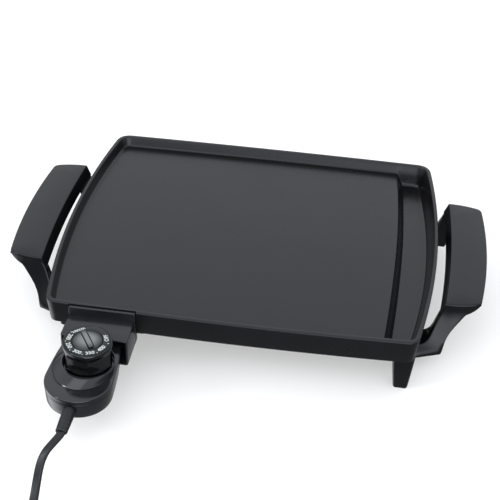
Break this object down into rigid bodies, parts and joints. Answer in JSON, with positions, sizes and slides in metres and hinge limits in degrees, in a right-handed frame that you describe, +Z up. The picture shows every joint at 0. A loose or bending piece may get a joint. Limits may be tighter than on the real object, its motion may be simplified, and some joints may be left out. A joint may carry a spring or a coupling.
{
  "type": "electric griddle",
  "caption": "Small electric griddle: bowed non-stick cast tray with a grease trough, black bracket handles, feet and a plug-in heat control with a numbered dial and a coiled cord.",
  "frame": {"origin": "middle of the footprint of the griddle with its heat control, without the cord, on the surface that it stands on", "axes": "+X to the right along the line from handle to handle, +Y to the back, +Z up; the heat control is at the front, -Y"},
  "size_m": [0.3472, 0.4566, 0.0612],
  "materials": {
    "nonstick_casting": "black non-stick coating on cast aluminium, semi-gloss plate, satin walls",
    "element_steel": "heat-tinted stainless steel sheath",
    "terminal_steel": "plated round pins",
    "black_moulding": "moulded black phenolic, satin to gloss",
    "guard_moulding": "moulded black phenolic, semi-gloss",
    "control_moulding": "moulded black phenolic, semi-gloss with fine texture",
    "dial_moulding": "gloss black moulding",
    "dial_print": null,
    "satin_cap": "satin silver cap",
    "screw_steel": "zinc-plated steel",
    "brass": "bare brass",
    "plated_steel": "zinc-plated steel strip",
    "ceramic": "unglazed ceramic, off-white",
    "cord_rubber": "black flat two-core cord sheath",
    "wire_sleeve": "sleeved wire",
    "tie_rubber": "black band",
    "plug_brass": "bare brass blades"
  },
  "bodies": {
    "root": {"griddle_tray": "nonstick_casting", "heating_element": "element_steel", "terminal_pin_left": "terminal_steel", "terminal_pin_right": "terminal_steel", "handle_left": "black_moulding", "handle_right": "black_moulding", "foot_front_right": "black_moulding", "foot_back_right": "black_moulding", "foot_back_left": "black_moulding", "foot_front_left": "black_moulding", "probe_guard": "guard_moulding", "guard_screw_1": "screw_steel", "guard_screw_2": "screw_steel", "handle_screw_1": "screw_steel", "handle_screw_2": "screw_steel", "handle_screw_3": "screw_steel", "handle_screw_4": "screw_steel", "foot_screw_front_right": "screw_steel", "foot_screw_back_right": "screw_steel", "foot_screw_back_left": "screw_steel", "foot_screw_front_left": "screw_steel", "pin_insulator_left": "ceramic", "pin_insulator_right": "ceramic"},
    "heat_control": {"control_upper_case": "control_moulding", "control_lower_case": "control_moulding", "case_screw_1": "screw_steel", "case_screw_2": "screw_steel", "case_screw_3": "screw_steel", "shaft_bushing": "brass", "thermostat_frame": "plated_steel", "blade_block": "ceramic", "fixed_blade": "brass", "moving_blade": "brass", "probe_tube": "element_steel", "probe_rod": "element_steel", "contact_sleeve_left": "brass", "contact_sleeve_right": "brass", "supply_wire_left": "wire_sleeve", "supply_wire_right": "wire_sleeve", "strain_relief": "cord_rubber", "power_cord": "cord_rubber", "cord_coil": "cord_rubber", "cord_tail": "cord_rubber", "cord_tie": "tie_rubber", "plug_body": "cord_rubber", "plug_blade_1": "plug_brass", "plug_blade_2": "plug_brass"},
    "dial": {"dial_knob": "dial_moulding", "dial_plate": "dial_print", "dial_cap": "satin_cap", "adjusting_shaft": "brass"},
    "push_pin_slider": {"push_pin": "ceramic"}
  },
  "joints": [
    {"name": "heat_control_slide", "type": "slide", "parent": "root", "child": "heat_control", "axis": [0, -1, 0], "range_m": [0, 0.07]},
    {"name": "dial_turn", "type": "hinge", "parent": "heat_control", "child": "dial", "pos_m": [-0.0858, -0.10867, 0.059], "axis": [0, 0, 1], "range_deg": [-300, 0]},
    {"name": "push_pin_travel", "type": "slide", "parent": "heat_control", "child": "push_pin_slider", "axis": [0, 0, -1], "range_m": [0, 0.0009]}
  ],
  "couplings": [
    {"joint": "push_pin_travel", "follows": "dial_turn", "m_per_rad": -0.000165}
  ]
}
